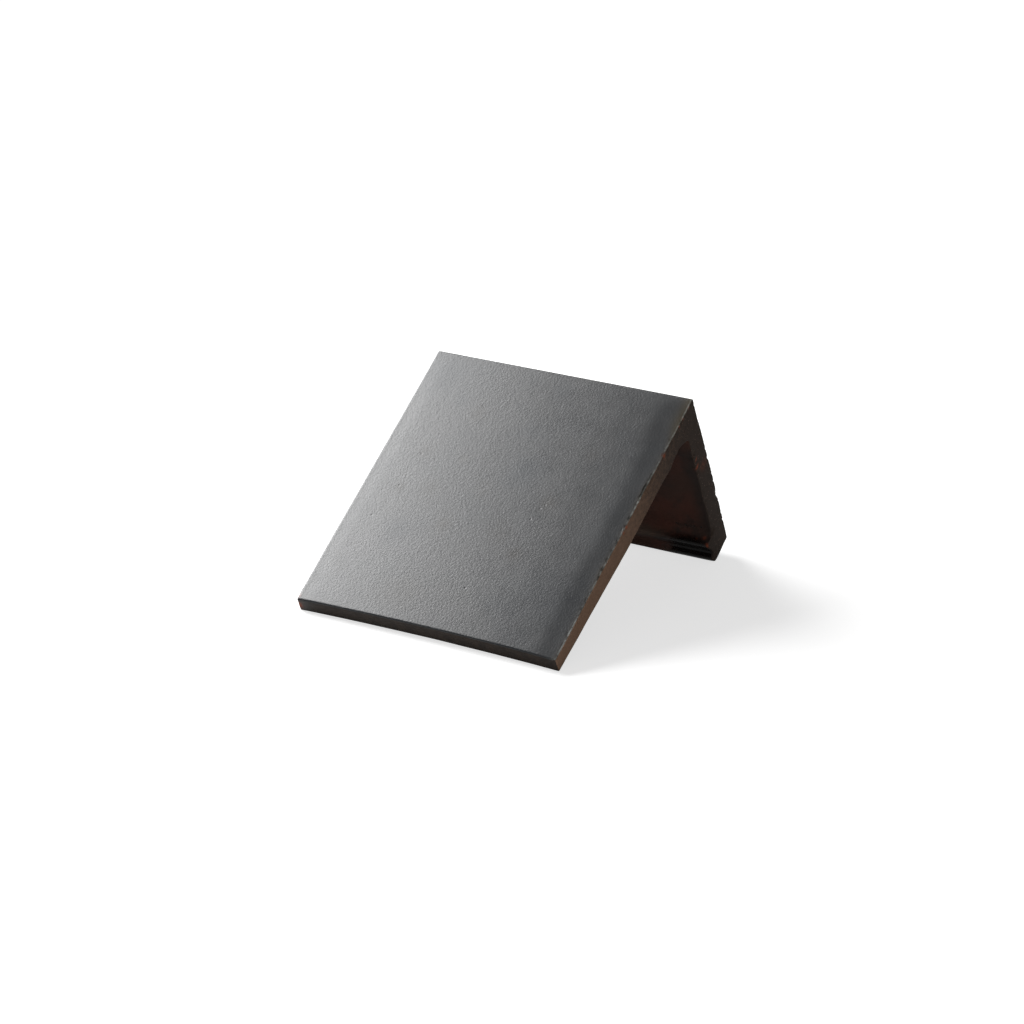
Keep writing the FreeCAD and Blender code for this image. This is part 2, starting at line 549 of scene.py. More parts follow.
@dataclass(frozen=True)
class FiringMarks:
    """All the marks of this tile, in millimetres from the ridge and from the middle of its length."""

    near_roll: EndRoll = EndRoll(
        0.053,
        8.5,
        ((-160, 14), (0, 18), (34, 18), (54, 14), (94, 11), (154, 9), (174, 11), (214, 13.5), (270, 11)),
        0.60,
        0.009,
    )
    far_roll: EndRoll = EndRoll(0.012, 6.0, ((-160, 8), (270, 8)), held=0.0)
    chips: tuple[Chip, ...] = (
        Chip(-94.0, 8.0, 0.9, 3.0),
        Chip(-101.0, 5.0, 0.72, 2.4),
        Chip(-59.0, 4.0, 0.54, 1.8),
        Chip(-134.0, 3.5, 0.54, 1.8),
        Chip(-151.0, 4.0, 0.48, 1.6),
        Chip(-186.0, 5.0, 0.54, 1.8),
        Chip(-219.0, 4.0, 0.48, 1.6),
        Chip(-24.0, 3.0, 0.42, 1.4),
        Chip(108.0, 9.0, 0.78, 4.0),
    )
    pits: tuple[Pit, ...] = (
        Pit(Side.INSIDE, 133.5, -91.0, 0.9, 1.4),
        Pit(Side.INSIDE, 133.0, -100.0, 1.0, 1.6),
        Pit(Side.INSIDE, 132.5, -108.0, 1.0, 1.6),
        Pit(Side.INSIDE, 132.5, -115.0, 0.9, 1.4),
        Pit(Side.NEAR_END, -16.0, 15.0, 0.8, 1.0),
        Pit(Side.GLAZED, -130.5, -47.0, 0.7, 0.16),
        Pit(Side.GLAZED, -135.0, -44.5, 0.6, 0.14),
        Pit(Side.GLAZED, -147.0, -41.0, 0.6, 0.14),
        Pit(Side.GLAZED, -106.0, 87.0, 0.7, 0.12),
        Pit(Side.GLAZED, -141.0, 91.0, 0.7, 0.12),
        Pit(Side.GLAZED, -149.0, 104.0, 0.6, 0.12),
        Pit(Side.GLAZED, -175.0, 100.5, 0.7, 0.14),
        Pit(Side.GLAZED, -194.0, 82.5, 0.6, 0.12),
        Pit(Side.GLAZED, -224.0, -17.0, 0.8, 0.16),
    )
    smudges: tuple[Smudge, ...] = (
        Smudge(Tone.COOL, -104.0, -13.0, 16.0, 1.0),
        Smudge(Tone.COOL, -18.0, 106.0, 28.0, 0.8),
        Smudge(Tone.COOL, -215.0, -80.0, 38.0, 0.6),
        Smudge(Tone.COOL, -183.0, 71.0, 13.0, 0.8),
        Smudge(Tone.COOL, -44.0, 77.0, 8.0, 0.5),
        Smudge(Tone.COOL, -64.0, 0.0, 10.0, 0.5),
        Smudge(Tone.COOL, -18.0, -8.0, 9.0, 0.6),
        Smudge(Tone.COOL, -232.0, -50.0, 10.0, 0.4),
        Smudge(Tone.BROWN, -169.0, 33.0, 7.0, 1.0),
        Smudge(Tone.BROWN, -183.0, -43.0, 6.0, 1.0),
        Smudge(Tone.BROWN, -55.0, 57.0, 7.5, 0.7),
        Smudge(Tone.BROWN, -128.0, -49.0, 7.0, 0.9),
        Smudge(Tone.BROWN, -75.0, -63.0, 7.0, 0.5),
        Smudge(Tone.BROWN, -241.0, 37.0, 17.0, 0.6),
        Smudge(Tone.BROWN, -103.0, 47.0, 4.5, 0.7),
        Smudge(Tone.BROWN, -104.0, 84.0, 8.0, 0.6),
        Smudge(Tone.BROWN, -137.0, 62.0, 8.0, 0.6),
        Smudge(Tone.BROWN, -143.0, 89.0, 5.0, 0.8),
        Smudge(Tone.BROWN, -129.0, 15.0, 8.0, 0.4),
        Smudge(Tone.BROWN, -166.0, -20.0, 11.0, 0.4),
        Smudge(Tone.BROWN, 60.0, 20.0, 14.0, 0.7),
        Smudge(Tone.COOL, 95.0, -50.0, 16.0, 0.7),
        Smudge(Tone.BROWN, 30.0, 85.0, 9.0, 0.6),
    )
    flecks: tuple[Fleck, ...] = (
        Fleck(-8.0, -125.0, 1.0, 1.1, 0.4),
        Fleck(-20.0, -125.0, 0.8, 1.1, 0.4),
        Fleck(-28.0, -125.0, 0.8, 1.0, 0.4),
        Fleck(-59.0, -125.0, 1.2, 1.7, 0.6),
        Fleck(-134.0, -125.0, 1.0, 1.3, 0.8),
        Fleck(-140.0, -125.0, 1.4, 1.2, 0.6),
        Fleck(46.0, -125.0, 19.6, 1.5),
        Fleck(57.0, -125.0, 20.0, 2.2, 0.7),
        Fleck(66.0, -125.0, 10.0, 5.0, 0.22),
        Fleck(139.0, -119.0, 27.0, 1.8, 0.9),
        Fleck(141.0, -112.0, 29.0, 1.4, 0.7),
        Fleck(143.0, -123.5, 33.0, 1.8, 1.0),
        Fleck(-268.0, 125.0, 6.5, 3.4),
        Fleck(-266.0, 125.0, 1.6, 2.0, 0.8),
    )


# The slab


@dataclass(frozen=True)
class Stretch:
    """An even run of grid lines."""

    start: float
    end: float
    spacing: float


def grid_lines(stretches: tuple[Stretch, ...]) -> Array:
    """Lays grid lines over adjoining stretches.

    Args:
        stretches: The stretches in order, each starting where the last one ends.

    Returns:
        The places of the lines, rising.
    """
    lines = [np.array([stretches[0].start])]
    for stretch in stretches:
        count = max(1, round((stretch.end - stretch.start) / stretch.spacing))
        lines.append(np.linspace(stretch.start, stretch.end, count + 1)[1:])
    return np.concatenate(lines)


@dataclass
class Board:
    """The slab before bending: X is the distance from the ridge, Y runs along it, Z is the wall's share."""

    section: TileSection
    wall_shares: tuple[float, ...] = (0.0, 0.025, 0.055, 0.09, 0.15, 0.3, 0.5, 0.7, 0.85, 0.93, 0.975, 1.0)
    pit_margins: tuple[float, ...] = (1.6, 0.9)
    pit_window: float = 4.0
    chipped_reach: float = 3.1
    chipped_share: float = 0.1
    chipped_cuts: int = 2
    chart_gap: float = 4.0
    chart_wall: float = 36.0

    def __post_init__(self) -> None:
        """Notes the axis and level of each side's plane, and starts the mesh."""
        self.half = self.section.ridge_length / 2.0
        self.planes = {
            Side.GLAZED: (2, 0.0),
            Side.INSIDE: (2, 1.0),
            Side.NEAR_END: (1, -self.half),
            Side.FAR_END: (1, self.half),
            Side.LONG_FOOT: (0, self.section.long_end),
            Side.SHORT_FOOT: (0, self.section.short_end),
        }
        self.mesh = bmesh.new()

    def place_lines(self) -> Array:
        """Lays the grid lines across the section, close at the feet, the ridge and the lip.

        Returns:
            Their distances from the ridge.
        """
        foot, short = self.section.long_end, self.section.short_end
        edge = 4.0
        lip = self.section.short_leg - self.section.lip_height - 9.0
        return grid_lines((
            Stretch(foot, foot + edge, 0.8),
            Stretch(foot + edge, -edge, 1.8),
            Stretch(-edge, edge, 0.7),
            Stretch(edge, lip, 1.9),
            Stretch(lip, short, 0.65),
        ))

    def ridge_lines(self) -> Array:
        """Lays the grid lines along the ridge, close at both ends and over the near end's droop.

        Returns:
            Their places from the middle of the ridge.
        """
        edge = 4.0 - self.half
        droop = 34.0 - self.half
        far_edge = self.half - 6.0
        return grid_lines((
            Stretch(-self.half, edge, 0.5),
            Stretch(edge, droop, 1.35),
            Stretch(droop, far_edge, 2.0),
            Stretch(far_edge, self.half, 0.75),
        ))

    def close(self) -> None:
        """Joins the six sides into one closed mesh."""
        lines = (self.place_lines(), self.ridge_lines(), np.array(self.wall_shares))
        corners: dict[tuple[int, ...], bmesh.types.BMVert] = {}
        for across in range(3):
            u, v = [axis for axis in range(3) if axis != across]
            for level in (0, len(lines[across]) - 1):
                for i, j in itertools.product(range(len(lines[u]) - 1), range(len(lines[v]) - 1)):
                    ring = []
                    for du, dv in ((0, 0), (1, 0), (1, 1), (0, 1)):
                        index = [0, 0, 0]
                        index[across], index[u], index[v] = level, i + du, j + dv
                        key = tuple(index)
                        if key not in corners:
                            corners[key] = self.mesh.verts.new([line[k] for line, k in zip(lines, key)])
                        ring.append(corners[key])
                    self.mesh.faces.new(ring)

    def side_of(self, face: bmesh.types.BMFace) -> Side:
        """Returns the side of the board that a face lies in."""
        middle = face.calc_center_median()
        return min(self.planes, key=lambda side: abs(middle[self.planes[side][0]] - self.planes[side][1]))

    def on_side(self, rows: Array, side: Side) -> Array:
        """Returns which rows of board coordinates lie in a side."""
        axis, level = self.planes[side]
        return np.abs(rows[:, axis] - level) < TINY

    def refine(self, edges: list[bmesh.types.BMEdge], cuts: int) -> None:
        """Divides edges and closes the faces round them.

        Args:
            edges: The edges to divide.
            cuts: How many new points each edge gets.
        """
        bmesh.ops.subdivide_edges(self.mesh, edges=edges, cuts=cuts, use_grid_fill=True)
        ragged = [face for face in self.mesh.faces if len(face.verts) > 4]
        bmesh.ops.triangulate(self.mesh, faces=ragged)

    def refine_pits(self, pits: tuple[Pit, ...]) -> None:
        """Makes the grid fine where small pits lie, in rounds that draw closer.

        Args:
            pits: The pits.
        """
        for margin in self.pit_margins:
            edges = set()
            for face in self.mesh.faces:
                middle = face.calc_center_median()
                for pit in pits:
                    if abs(middle.x - pit.place) > self.pit_window:
                        continue
                    away = self.pit_distance(np.array([middle]), pit)[0]
                    if away < pit.radius + margin and self.side_of(face) is pit.side:
                        edges.update(face.edges)
            self.refine(list(edges), 1)

    def pit_distance(self, rows: Array, pit: Pit) -> Array:
        """Measures how far places on the board are from a pit's middle, in its own side.

        Args:
            rows: Rows of board coordinates.
            pit: The pit.

        Returns:
            The distances in millimetres.
        """
        at_end = pit.side in (Side.NEAR_END, Side.FAR_END)
        across = rows[:, 2] * self.section.wall(rows[:, 0]) if at_end else rows[:, 1]
        return np.hypot(rows[:, 0] - pit.place, across - pit.along)

    def refine_near_edge(self) -> None:
        """Makes the grid fine along the glazed edge of the near end, where it is chipped."""
        edges = []
        for edge in self.mesh.edges:
            a, b = (vertex.co for vertex in edge.verts)
            across = abs(a.y - b.y) < TINY and abs(a.z - b.z) < TINY and abs(a.x - b.x) > 1.0
            if across and a.y < self.chipped_reach - self.half and a.z < self.chipped_share:
                edges.append(edge)
        self.refine(edges, self.chipped_cuts)

    def lay_out(self) -> None:
        """Unrolls each side of the board into its own place on one square map."""
        length = 2.0 * self.half + self.chart_gap
        thick = self.chart_wall + self.chart_gap
        feet = self.section.short_end - self.section.long_end + self.chart_gap
        size = 2.0 * (length + thick)
        charts = {
            Side.GLAZED: (0, 1, 0.0, 0.0),
            Side.INSIDE: (0, 1, 0.0, length),
            Side.NEAR_END: (0, 2, 0.0, 2.0 * length),
            Side.FAR_END: (0, 2, 0.0, 2.0 * length + thick),
            Side.LONG_FOOT: (2, 1, feet, 0.0),
            Side.SHORT_FOOT: (2, 1, feet + thick, 0.0),
        }
        layer = self.mesh.loops.layers.uv.new("OFBake")
        for face in self.mesh.faces:
            across, upward, right, up = charts[self.side_of(face)]
            for loop in face.loops:
                place, along, share = loop.vert.co
                spot = (place - self.section.long_end, along + self.half, share * self.chart_wall)
                loop[layer].uv = ((spot[across] + right) / size, (spot[upward] + up) / size)


@dataclass
class SlabShape:
    """Turns places on the board into places on the fired tile.

    A fade is the distance in which a change falls to about a third.
    """

    section: TileSection
    marks: FiringMarks
    board: Array
    end_radius: float = 0.9
    inner_radius: float = 0.8
    inner_half: Span = (0.25, 0.75)
    foot_radius: float = 1.6
    foot_reach: Span = (2.0, 12.0)
    foot_arch: float = 2.0
    arch_fade: float = 14.0
    warp: Waves = Waves(95.0, 0.03, 7.0, 2)
    orange_peel: Waves = Waves(7.0, 0.008, 11.0)
    glaze_fade: float = 5.0
    drag: Waves = Waves(14.0, 0.22, 17.0, 2)
    drag_stretch: float = 4.0
    drag_fade: float = 0.25
    end_wave: Waves = Waves(26.0, 0.16, 23.0, 2)
    end_fade: float = 3.0
    ragged: Waves = Waves(5.0, 0.8, 3.0, 3)
    ragged_spared: float = 0.12
    ragged_band: Band = Band(0.0, 2.2)
    scallop_length: float = 1.8
    scallop_height: float = 0.35
    torn: Waves = Waves(8.0, 2.2, 31.0, 3)
    torn_all: float = 0.33
    torn_wall: float = 9.0
    torn_band: Band = Band(1.0, 0.12)
    torn_fade: float = 2.5
    torn_rise: Span = (15.0, 35.0)
    lumps: tuple[Band, ...] = (Band(-54.0, 5.0, 1.7), Band(-62.0, 4.0, 0.5))
    lump_fade: float = 7.0
    lump_rise: Span = (0.3, 1.0)

    def __post_init__(self) -> None:
        """Rounds the board's edges and measures each place from both ends."""
        half = self.section.ridge_length / 2.0
        self.share = self.board[:, 2]
        self.place, self.along, self.depth = self.rounded(half).T
        self.from_near = self.along + half
        self.from_far = half - self.along

    def rounded(self, half: float) -> Array:
        """Rounds the edges and corners of the board.

        Args:
            half: Half the length of the ridge.

        Returns:
            Rows of the distance from the ridge, the place along it and the depth.
        """
        place, along, share = self.board.T
        wall = self.section.wall(place)
        low_end, high_end = self.section.long_end, self.section.short_end
        to_foot = np.minimum(place - low_end, high_end - place)
        outer = self.foot_radius + (self.end_radius - self.foot_radius) * eased(to_foot, *self.foot_reach)
        radius = outer + (self.inner_radius - outer) * eased(share, *self.inner_half)
        flat = np.stack([place, along, share * wall], axis=1)
        low = np.stack([low_end + radius, radius - half, radius], axis=1)
        high = np.stack([high_end - radius, half - radius, wall - radius], axis=1)
        core = np.clip(flat, low, high)
        length = np.linalg.norm(flat - core, axis=1)
        stretch = np.where(length > TINY, radius / np.maximum(length, TINY), 0.0)
        return core + (flat - core) * stretch[:, None]

    def torn_back(self) -> Array:
        """Tears back the short leg's inner edge at the near end.

        Returns:
            How far each place moves back.
        """
        torn = np.maximum(self.torn.at(self.place, self.share * self.torn_wall) + self.torn_all, 0.0)
        at_edge = self.torn_band.at(self.share) * np.exp(-self.from_near / self.torn_fade)
        return torn * at_edge * eased(self.place, *self.torn_rise)

    def chipped(self) -> Array:
        """Breaks the flakes out of the near end's glazed edge and roughens the rest of it.

        Returns:
            How far each place moves inward, both along the ridge and in depth.
        """
        from_edge = np.hypot(self.from_near, self.depth)
        ragged = np.maximum(self.ragged.at(self.place, from_edge) - self.ragged_spared, 0.0)
        moved = ragged * self.ragged_band.at(from_edge)
        for chip in self.marks.chips:
            scallop = Waves(self.scallop_length, self.scallop_height, chip.place)
            bite = np.clip(1.0 - (from_edge / chip.reach) ** 2, 0.0, 1.0)
            band = Band(chip.place, chip.length / 2.0, chip.depth)
            moved += (1.0 + scallop.at(self.place, from_edge)) * bite * band.at(self.place)
        return moved

    def relief(self) -> Array:
        """Finds how far the glazed and the inner side lie under their planes.

        Returns:
            The change of depth at each place.
        """
        droop = self.marks.near_roll.drop(self.place, self.from_near)
        droop += self.marks.far_roll.drop(self.place, self.from_far)
        glazed = droop + self.warp.at(self.place, self.along) + self.orange_peel.at(self.place, self.along)
        inner = self.drag.at(self.place, self.along / self.drag_stretch)
        inner_fade = np.exp(-(1.0 - self.share) / self.drag_fade)
        return glazed * np.exp(-self.depth / self.glaze_fade) + inner * inner_fade

    def smear(self) -> Array:
        """Returns how far the cut pushed clay into the hollow, beside the throat on the long leg."""
        lump = sum(band.at(self.place) for band in self.lumps)
        return lump * np.exp(-self.from_near / self.lump_fade) * eased(self.share, *self.lump_rise)

    def bent(self) -> Array:
        """Shapes the board and bends it to the section.

        Returns:
            Rows of X, Y and Z in metres.
        """
        moved = self.chipped()
        torn = self.torn_back()
        half = self.section.ridge_length / 2.0
        arch = self.foot_arch * (1.0 - (self.along / half) ** 2)
        place = self.place + arch * np.exp(-(self.place - self.section.long_end) / self.arch_fade)
        to_end = np.minimum(self.from_near, self.from_far)
        wave = self.end_wave.at(place, self.depth) * np.exp(-to_end / self.end_fade)
        depth = self.depth + moved + self.relief() + self.smear() - torn
        flat = self.section.stood(place, depth)
        height = np.maximum(flat[:, 1], self.section.floor)
        return np.stack([flat[:, 0], self.along + moved + torn + wave, height], axis=1) * MM

    def sink_pits(self, points: Array, normals: Array, maker: Board) -> tuple[Array, Array]:
        """Presses the pits into the finished surface.

        Args:
            points: Rows of X, Y and Z in metres.
            normals: The outward normals there.
            maker: The board, which measures distances in its sides.

        Returns:
            The moved points and how deep in a pit each lies, from 0 to 1.
        """
        sunk = np.zeros(len(points))
        depth = np.zeros(len(points))
        for pit in self.marks.pits:
            bowl = hump(maker.pit_distance(self.board, pit), pit.radius) * maker.on_side(self.board, pit.side)
            sunk = np.maximum(sunk, bowl)
            depth = np.maximum(depth, bowl * pit.depth)
        return points - normals * (depth * MM)[:, None], sunk


# What the finishes need to know about each place


@dataclass
class SurfaceReadings:
    """Reads the distances and the spots that the finishes follow, as one number for each vertex."""

    section: TileSection
    marks: FiringMarks
    board: Array
    lap: float = 0.6
    near_lap: float = -0.5
    near_lap_reach: float = 3.0
    # A thin band along the ridge: painted shade that browns the glaze, and duller glaze
    crest: Band = Band(0.4, 1.1)
    crest_least: float = 0.3
    crest_rise: Span = (55.0, 175.0)
    crest_dulls: float = 5.0
    smudge_dulls: Span = (95.0, 215.0)
    rim_least: float = 0.35
    rim_rise: Span = (30.0, 60.0)
    rim_bands: tuple[Band, ...] = (Band(100.0, 14.0, 0.4), Band(180.0, 14.0, 0.4))
    rim_width: float = 3.5
    rim_ridge_width: float = 4.0
    rim_narrows: Span = (20.0, 50.0)
    bright_least: float = 0.45
    # Where the pale edge line, broken glaze and painted highlight, is strongest
    bright_bands: tuple[Band, ...] = (Band(-110.0, 7.0, 0.55), Band(-243.0, 17.0, 0.55))
    bright_width: float = 6.0
    soot: Band = Band(19.0, 27.0)
    soot_on_lip: Span = (-3.0, 8.0)
    soot_depth: Span = (10.0, 22.0)
    soot_off_end: Span = (0.4, 2.5)
    # Painted shade: a dark band inside the short leg along the near end
    burnt: Band = Band(0.0, 10.0, 0.9)
    inner_end_shade_rise: Span = (10.0, 30.0)
    # Where the painted light lies on the lip's nose
    nose: Band = Band(4.0, 5.0, 0.4)
    nose_depth: Span = (22.0, 28.0)
    nose_rise: Span = (30.0, 65.0)
    bloom: Band = Band(0.0, 14.0)
    bloom_on_foot: Band = Band(0.0, 10.0)
    bloom_before: float = 0.16
    bloom_rise: Span = (65.0, 185.0)

    def __post_init__(self) -> None:
        """Measures each place from the ridge, the ends, the feet and the top of the lip."""
        half = self.section.ridge_length / 2.0
        self.place, self.along, share = self.board.T
        self.wall = self.section.wall(self.place)
        self.depth = share * self.wall
        self.from_near = self.along + half
        self.from_far = half - self.along
        self.to_end = np.minimum(self.from_near, self.from_far)
        self.to_foot = np.minimum(self.place - self.section.long_end, self.section.short_end - self.place)
        self.below_lip = self.place - self.section.short_leg + self.section.lip_height

    def all_of(self) -> dict[str, Array]:
        """Takes every reading.

        Returns:
            The readings by name, distances in millimetres and strengths from 0 to 1.
        """
        glaze_in = np.where(self.depth > 0.0, -self.depth, np.minimum(self.to_end, self.to_foot))
        smudges = {tone.value: self.smudged(tone) for tone in Tone}
        smudged = np.minimum(sum(smudges.values()), 1.0) * eased(self.from_near, *self.smudge_dulls)
        crest = self.crest_shade_line()
        readings = {
            **smudges,
            "glaze_in": glaze_in + np.where(self.from_near < self.near_lap_reach, self.near_lap, self.lap),
            "cut_in": np.minimum(self.wall - self.depth, self.to_foot) - self.to_end,
            "foot_in": np.minimum(self.wall - self.depth, self.to_end) - self.to_foot,
            "place": self.place,
            "ember": self.ember(),
            "rim": self.rim(),
            "pale_edge_and_highlight": self.pale_edge_and_highlight(),
            "soot": self.sooted(),
            "inner_end_shade": self.burnt.at(self.from_near) * eased(self.place, *self.inner_end_shade_rise),
            "lip_nose_light": self.lip_nose_light(),
            "corner_bloom": self.corner_bloom(),
            "dull": smudged + self.crest_dulls * crest,
        }
        # The brown reading also carries the painted shade line along the ridge
        readings[Tone.BROWN.value] = np.maximum(smudges[Tone.BROWN.value], crest)
        return readings

    def crest_shade_line(self) -> Array:
        """Returns a thin band along the ridge, most towards the near end: painted shade that browns the glaze
        there, and duller glaze.
        """
        towards = eased(self.from_far, *self.crest_rise)
        return self.crest.at(self.place) * (self.crest_least + (1.0 - self.crest_least) * towards)

    def ember(self) -> Array:
        """Reads how bare and bright the clay is in the flecks.

        Returns:
            A strength at each place.
        """
        rows = np.stack([self.place, self.along, self.depth], axis=1)
        total = np.zeros(len(rows))
        for fleck in self.marks.flecks:
            away = np.linalg.norm(rows - (fleck.place, fleck.along, fleck.depth), axis=1)
            total = np.maximum(total, fleck.strength * hump(away, fleck.radius))
        return total

    def smudged(self, tone: Tone) -> Array:
        """Reads how strongly the smudges of a tone lie over each place.

        Args:
            tone: The tone.

        Returns:
            A strength at each place, up to 1.
        """
        total = np.zeros(len(self.place))
        for smudge in self.marks.smudges:
            if smudge.tone is tone:
                away = np.hypot(self.place - smudge.place, self.along - smudge.along)
                total += smudge.strength * hump(away, smudge.width)
        return np.minimum(total, 1.0)

    def rim(self) -> Array:
        """Reads the olive tint of the thin glaze at the near end, strongest beside the ridge.

        Returns:
            A strength at each place.
        """
        down = np.abs(self.place)
        strength = 1.0 - (1.0 - self.rim_least) * eased(down, *self.rim_rise)
        strength += sum(band.at(down) for band in self.rim_bands)
        width = self.rim_width + self.rim_ridge_width * (1.0 - eased(down, *self.rim_narrows))
        return np.minimum(strength, 1.0) * hump(self.from_near, width)

    def pale_edge_and_highlight(self) -> Array:
        """Returns where the pale line at the near end's broken glaze edge is strongest: partly bare broken
        glaze, partly a painted highlight where the edge catches light.
        """
        strength = self.bright_least + sum(band.at(self.place) for band in self.bright_bands)
        return strength * hump(self.from_near, self.bright_width)

    def sooted(self) -> Array:
        """Returns where the lip is burnt black and glossy."""
        on_lip = eased(self.below_lip, *self.soot_on_lip) * eased(self.depth, *self.soot_depth)
        return on_lip * self.soot.at(self.from_near) * eased(self.from_near, *self.soot_off_end)

    def lip_nose_light(self) -> Array:
        """Returns where painted light lies along the lip's nose, whose upward-facing top catches light."""
        inner = eased(self.depth, *self.nose_depth)
        return self.nose.at(self.below_lip) * inner * eased(self.from_near, *self.nose_rise)

    def corner_bloom(self) -> Array:
        """Returns how grey the long foot is, most at its far corner."""
        bloom = self.bloom.at(self.from_far) + self.bloom_before * eased(self.from_near, *self.bloom_rise)
        return self.bloom_on_foot.at(self.place - self.section.long_end) * np.minimum(bloom, 1.0)


# Finishes


def port(sockets: bpy.types.bpy_prop_collection, identifier: str) -> Socket:
    """Returns the socket with an identifier."""
    return next(socket for socket in sockets if socket.identifier == identifier)


@dataclass(frozen=True)
class Grain:
    """A kind of soft noise, with the levels between which its patches rise.

    Detail is how many finer copies it has, and rough is how strong they are.
    """

    size: float
    detail: float
    rough: float
    seed: float
    low: float = 0.0
    high: float = 1.0


class Mixer:
    """Lays nodes with short calls. Sizes are in millimetres on the piece."""

    def __init__(self, owner: bpy.types.Material | bpy.types.World) -> None:
        """Empties a material's or a world's nodes.

        Args:
            owner: The material or the world to fill.
        """
        owner.use_nodes = True
        self.tree = owner.node_tree
        self.tree.nodes.clear()

    def feed(self, socket: Socket, value: object) -> None:
        """Gives a socket a plain value or a colour, or links another socket to it.

        Args:
            socket: The socket.
            value: The number, the colour or the other socket.
        """
        if isinstance(value, Socket):
            self.tree.links.new(value, socket)
        else:
            socket.default_value = (*value, 1.0) if isinstance(value, tuple) else value

    def node(self, kind: str, feeds: dict[str, object], **choices: str) -> bpy.types.Node:
        """Lays a node.

        Args:
            kind: Its type, without the ShaderNode that they all begin with.
            feeds: What its sockets get, by their identifiers.
            choices: Its other settings.

        Returns:
            The node.
        """
        node = self.tree.nodes.new(f"ShaderNode{kind}")
        for name, choice in choices.items():
            setattr(node, name, choice)
        for name, value in feeds.items():
            self.feed(port(node.inputs, name), value)
        return node

    @cached_property
    def places(self) -> Socket:
        """The place on the piece in millimetres."""
        where = self.node("TexCoord", {}).outputs["Object"]
        return self.node("VectorMath", {"Vector": where, "Scale": 1.0 / MM}, operation="SCALE").outputs[0]

    def reading(self, name: str) -> Socket:
        """Returns one of the piece's readings."""
        return self.node("Attribute", {}, attribute_name=name).outputs["Fac"]

    def grain(self, kind: Grain) -> Socket:
        """Makes noise.

        Args:
            kind: The kind of noise.

        Returns:
            A number from 0 to 1.
        """
        feeds = {"Vector": self.places, "W": kind.seed, "Scale": 1.0 / kind.size}
        feeds |= {"Detail": kind.detail, "Roughness": kind.rough}
        return self.node("TexNoise", feeds, noise_dimensions="4D").outputs[0]

    def patches(self, kind: Grain, start: float = 0.0, end: float = 1.0) -> Socket:
        """Returns soft patches of noise, from one number outside them to another inside."""
        return self.rise(self.grain(kind), kind.low, kind.high, start, end)

    def cells(self, size: float, smooth: float = 0.4) -> Socket:
        """Returns the distance to the nearest of evenly scattered dots, 0 at each dot."""
        feeds = {"Vector": self.places, "Scale": 1.0 / size, "Smoothness": smooth}
        return self.node("TexVoronoi", feeds, feature="SMOOTH_F1").outputs["Distance"]

    def sum(self, operation: str, a: object, b: object = 0.0, c: object = 0.0) -> Socket:
        """Returns the result of a sum, such as MULTIPLY, of up to three numbers."""
        feeds = {"Value": a, "Value_001": b, "Value_002": c}
        return self.node("Math", feeds, operation=operation).outputs[0]

    def rise(self, value: object, low: float, high: float, start: float = 0.0, end: float = 1.0) -> Socket:
        """Returns a smooth step from start to end, as the value goes from low to high."""
        feeds = {"Value": value, "From Min": low, "From Max": high, "To Min": start, "To Max": end}
        return self.node("MapRange", feeds, interpolation_type="SMOOTHSTEP").outputs["Result"]

    def between(self, share: object, a: object, b: object, kind: str = "Float") -> Socket:
        """Mixes two numbers, or two colours where the kind is Color.

        Args:
            share: How much of the second there is.
            a: The first.
            b: The second.
            kind: What they are.

        Returns:
            The mix.
        """
        feeds = {"Factor_Float": share, f"A_{kind}": a, f"B_{kind}": b}
        node = self.node("Mix", feeds, data_type="RGBA" if kind == "Color" else "FLOAT")
        return port(node.outputs, f"Result_{kind}")

    def tint(self, share: object, a: object, b: object) -> Socket:
        """Mixes two colours."""
        return self.between(share, a, b, "Color")

    def seen(self, path: bpy.types.bpy_prop_collection) -> Socket:
        """Returns 1 on the camera's rays, also through glass, and 0 on the others."""
        return self.sum("MAXIMUM", path["Is Camera Ray"], path["Is Transmission Ray"])


@dataclass(frozen=True)
class Coat:
    """The three things that a finish gives to each place. Height is in millimetres."""

    colour: object
    roughness: object
    height: object

    def under(self, top: "Coat", share: object, mixer: Mixer) -> "Coat":
        """Lays another finish over this one.

        Args:
            top: The finish on top.
            share: How much of it there is.
            mixer: The material's nodes.

        Returns:
            The layered finish.
        """
        return Coat(
            mixer.tint(share, self.colour, top.colour),
            mixer.between(share, self.roughness, top.roughness),
            mixer.between(share, self.height, top.height),
        )


